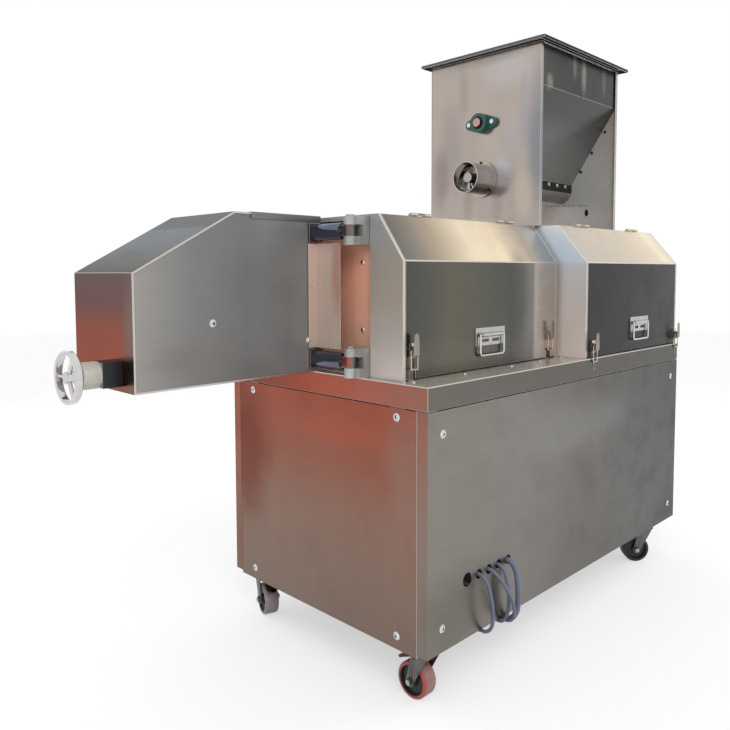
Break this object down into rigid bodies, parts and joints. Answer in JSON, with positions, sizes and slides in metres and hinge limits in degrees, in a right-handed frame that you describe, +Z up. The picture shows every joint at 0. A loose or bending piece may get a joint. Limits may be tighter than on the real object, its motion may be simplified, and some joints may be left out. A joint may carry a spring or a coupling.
{
  "type": "corn extruder",
  "caption": "Wheeled corn snack extruder with a feed hopper, hinged covers over its driven screw barrel, and a swing-out cutter box.",
  "frame": {"origin": "centre of the bounding box on the floor, cables left out", "axes": "+X along the machine from the die end to the drive end, +Y from the operator's side to the back, +Z up"},
  "size_m": [2.2244, 0.8945, 1.915],
  "materials": {
    "frame_steel": "satin grey paint",
    "cabinet_steel": "brushed stainless, satin",
    "bolts": "polished",
    "cover_steel": "brushed stainless, satin",
    "fittings": "plated",
    "hopper_steel": "polished stainless",
    "bearing_green": "gloss green paint",
    "machined_steel": "machined",
    "chain_steel": "oiled",
    "motor_paint": "satin blue-grey paint",
    "barrel_steel": "machined",
    "hinge_castings": "painted grey",
    "belt_rubber": "matte",
    "box_steel": "brushed stainless",
    "adjuster_black": "gloss black",
    "handwheel_chrome": "polished",
    "carriage_paint": "satin paint",
    "fork_steel": "zinc grey",
    "wheel_red": "polyurethane tread on a dark core",
    "pedal_dark": "black",
    "clamp_plastic": "black plastic",
    "cable_jacket": "blue-grey jacket"
  },
  "bodies": {
    "machine": {"base_frame": "frame_steel", "side_panel_front": "cabinet_steel", "side_panel_back": "cabinet_steel", "end_panels": "cabinet_steel", "deck": "cabinet_steel", "panel_bolts": "bolts", "barrel_cover": "cover_steel", "drive_cover": "cover_steel", "hopper_end_plates": "hopper_steel", "hopper_walls": "hopper_steel", "hopper_rim": "hopper_steel", "feed_tube": "hopper_steel", "flange_bearings": "bearing_green", "feed_chain": "chain_steel", "feed_motor": "motor_paint", "main_motor": "motor_paint", "barrel": "barrel_steel", "bulkhead": "barrel_steel", "hinge_blocks": "hinge_castings", "bearing_housing": "hinge_castings", "drive_belts": "belt_rubber", "cable_clamp": "clamp_plastic", "cable_leads": "cable_jacket", "cable_coils": "cable_jacket"},
    "barrel_door": {"barrel_door": "cover_steel", "barrel_door_fittings": "fittings"},
    "drive_door": {"drive_door": "cover_steel", "drive_door_fittings": "fittings"},
    "barrel_handle": {"barrel_handle": "fittings"},
    "drive_handle": {"drive_handle": "fittings"},
    "latch_lever_1": {"latch_lever_1": "fittings"},
    "latch_loop_1": {"latch_loop_1": "fittings"},
    "latch_lever_2": {"latch_lever_2": "fittings"},
    "latch_loop_2": {"latch_loop_2": "fittings"},
    "latch_lever_3": {"latch_lever_3": "fittings"},
    "latch_loop_3": {"latch_loop_3": "fittings"},
    "latch_lever_4": {"latch_lever_4": "fittings"},
    "latch_loop_4": {"latch_loop_4": "fittings"},
    "extruder_screw": {"extruder_screw": "machined_steel", "driven_pulley": "hinge_castings"},
    "motor_pulley": {"motor_pulley": "hinge_castings"},
    "feed_auger": {"feed_auger": "machined_steel"},
    "agitator": {"agitator": "machined_steel"},
    "cutter_box": {"cutter_box": "box_steel", "cutter_side_panel": "box_steel", "knife_guard": "box_steel", "adjuster": "adjuster_black"},
    "handwheel": {"handwheel": "handwheel_chrome"},
    "cutter_carriage": {"cutter_carriage": "carriage_paint"},
    "knife_rotor": {"knife_rotor": "machined_steel"},
    "caster_fork_1": {"caster_fork_1": "fork_steel"},
    "caster_wheel_1": {"caster_wheel_1": "wheel_red"},
    "caster_fork_2": {"caster_fork_2": "fork_steel"},
    "caster_wheel_2": {"caster_wheel_2": "wheel_red"},
    "caster_fork_3": {"caster_fork_3": "fork_steel"},
    "caster_wheel_3": {"caster_wheel_3": "wheel_red"},
    "caster_fork_4": {"caster_fork_4": "fork_steel"},
    "caster_wheel_4": {"caster_wheel_4": "wheel_red"},
    "brake_pedal_1": {"brake_pedal_1": "pedal_dark"},
    "brake_pedal_3": {"brake_pedal_3": "pedal_dark"}
  },
  "joints": [
    {"name": "barrel_door_hinge", "type": "hinge", "parent": "machine", "child": "barrel_door", "pos_m": [-0.01625, -0.21725, 1.296], "axis": [-1, 0, 0], "range_deg": [0, 100]},
    {"name": "drive_door_hinge", "type": "hinge", "parent": "machine", "child": "drive_door", "pos_m": [0.74525, -0.29425, 1.296], "axis": [-1, 0, 0], "range_deg": [0, 100]},
    {"name": "barrel_handle_swing", "type": "hinge", "parent": "barrel_door", "child": "barrel_handle", "pos_m": [-0.01425, -0.31625, 0.951], "axis": [-1, 0, 0], "range_deg": [0, 95]},
    {"name": "drive_handle_swing", "type": "hinge", "parent": "drive_door", "child": "drive_handle", "pos_m": [0.77675, -0.41225, 0.951], "axis": [-1, 0, 0], "range_deg": [0, 95]},
    {"name": "latch_lever_1_pull", "type": "hinge", "parent": "barrel_door", "child": "latch_lever_1", "pos_m": [-0.36125, -0.31525, 0.917], "axis": [1, 0, 0], "range_deg": [0, 110]},
    {"name": "latch_loop_1_turn", "type": "hinge", "parent": "latch_lever_1", "child": "latch_loop_1", "pos_m": [-0.36125, -0.31525, 0.929], "axis": [1, 0, 0], "range_deg": [-110, 0]},
    {"name": "latch_lever_2_pull", "type": "hinge", "parent": "barrel_door", "child": "latch_lever_2", "pos_m": [0.31275, -0.31525, 0.917], "axis": [1, 0, 0], "range_deg": [0, 110]},
    {"name": "latch_loop_2_turn", "type": "hinge", "parent": "latch_lever_2", "child": "latch_loop_2", "pos_m": [0.31275, -0.31525, 0.929], "axis": [1, 0, 0], "range_deg": [-110, 0]},
    {"name": "latch_lever_3_pull", "type": "hinge", "parent": "drive_door", "child": "latch_lever_3", "pos_m": [0.42475, -0.41725, 0.876], "axis": [1, 0, 0], "range_deg": [0, 110]},
    {"name": "latch_loop_3_turn", "type": "hinge", "parent": "latch_lever_3", "child": "latch_loop_3", "pos_m": [0.42475, -0.41725, 0.888], "axis": [1, 0, 0], "range_deg": [-110, 0]},
    {"name": "latch_lever_4_pull", "type": "hinge", "parent": "drive_door", "child": "latch_lever_4", "pos_m": [1.08775, -0.41725, 0.876], "axis": [1, 0, 0], "range_deg": [0, 110]},
    {"name": "latch_loop_4_turn", "type": "hinge", "parent": "latch_lever_4", "child": "latch_loop_4", "pos_m": [1.08775, -0.41725, 0.888], "axis": [1, 0, 0], "range_deg": [-110, 0]},
    {"name": "screw_spin", "type": "hinge", "parent": "machine", "child": "extruder_screw", "pos_m": [0.47775, 0.00425, 1.06], "axis": [1, 0, 0], "continuous": true},
    {"name": "motor_spin", "type": "hinge", "parent": "machine", "child": "motor_pulley", "pos_m": [0.72775, 0.00425, 0.41], "axis": [1, 0, 0], "continuous": true},
    {"name": "auger_spin", "type": "hinge", "parent": "machine", "child": "feed_auger", "pos_m": [0.57775, 0.00425, 1.467], "axis": [1, 0, 0], "continuous": true},
    {"name": "agitator_spin", "type": "hinge", "parent": "machine", "child": "agitator", "pos_m": [0.57775, 0.00425, 1.665], "axis": [1, 0, 0], "continuous": true},
    {"name": "cutter_box_swing", "type": "hinge", "parent": "machine", "child": "cutter_box", "pos_m": [-0.43825, -0.15325, 1.069], "axis": [0, 0, 1], "range_deg": [0, 100]},
    {"name": "handwheel_turn", "type": "hinge", "parent": "cutter_box", "child": "handwheel", "pos_m": [-1.10325, 0.07675, 0.897], "axis": [-1, 0, 0], "range_deg": [0, 1800]},
    {"name": "carriage_slide", "type": "slide", "parent": "cutter_box", "child": "cutter_carriage", "axis": [-1, 0, 0], "range_m": [0, 0.02]},
    {"name": "knife_spin", "type": "hinge", "parent": "cutter_carriage", "child": "knife_rotor", "pos_m": [-0.42225, 0.08725, 1.06], "axis": [1, 0, 0], "continuous": true},
    {"name": "caster_1_swivel", "type": "hinge", "parent": "machine", "child": "caster_fork_1", "pos_m": [-0.36425, -0.36325, 0.14], "axis": [0, 0, 1], "continuous": true},
    {"name": "caster_1_roll", "type": "hinge", "parent": "caster_fork_1", "child": "caster_wheel_1", "pos_m": [-0.36425, -0.32825, 0.05], "axis": [-1, 0, 0], "continuous": true},
    {"name": "caster_2_swivel", "type": "hinge", "parent": "machine", "child": "caster_fork_2", "pos_m": [0.94675, -0.36325, 0.14], "axis": [0, 0, 1], "continuous": true},
    {"name": "caster_2_roll", "type": "hinge", "parent": "caster_fork_2", "child": "caster_wheel_2", "pos_m": [0.922, -0.3385, 0.05], "axis": [-0.7071, -0.7071, 0], "continuous": true},
    {"name": "caster_3_swivel", "type": "hinge", "parent": "machine", "child": "caster_fork_3", "pos_m": [-0.34525, 0.37175, 0.14], "axis": [0, 0, 1], "continuous": true},
    {"name": "caster_3_roll", "type": "hinge", "parent": "caster_fork_3", "child": "caster_wheel_3", "pos_m": [-0.35722, 0.33886, 0.05], "axis": [0.9397, -0.342, 0], "continuous": true},
    {"name": "caster_4_swivel", "type": "hinge", "parent": "machine", "child": "caster_fork_4", "pos_m": [0.94675, 0.37175, 0.14], "axis": [0, 0, 1], "continuous": true},
    {"name": "caster_4_roll", "type": "hinge", "parent": "caster_fork_4", "child": "caster_wheel_4", "pos_m": [0.97964, 0.38372, 0.05], "axis": [-0.342, 0.9397, 0], "continuous": true},
    {"name": "brake_pedal_1_press", "type": "hinge", "parent": "caster_fork_1", "child": "brake_pedal_1", "pos_m": [-0.36425, -0.34325, 0.121], "axis": [-1, 0, 0], "range_deg": [0, 8]},
    {"name": "brake_pedal_3_press", "type": "hinge", "parent": "caster_fork_3", "child": "brake_pedal_3", "pos_m": [-0.35209, 0.35296, 0.121], "axis": [0.9397, -0.342, 0], "range_deg": [0, 8]}
  ],
  "couplings": [
    {"joint": "latch_loop_1_turn", "follows": "latch_lever_1_pull", "ratio": -1},
    {"joint": "latch_loop_2_turn", "follows": "latch_lever_2_pull", "ratio": -1},
    {"joint": "latch_loop_3_turn", "follows": "latch_lever_3_pull", "ratio": -1},
    {"joint": "latch_loop_4_turn", "follows": "latch_lever_4_pull", "ratio": -1},
    {"joint": "motor_spin", "follows": "screw_spin", "ratio": 2.1429},
    {"joint": "agitator_spin", "follows": "auger_spin", "ratio": 0.68421},
    {"joint": "handwheel_turn", "follows": "carriage_slide", "rad_per_m": 1570.8}
  ]
}
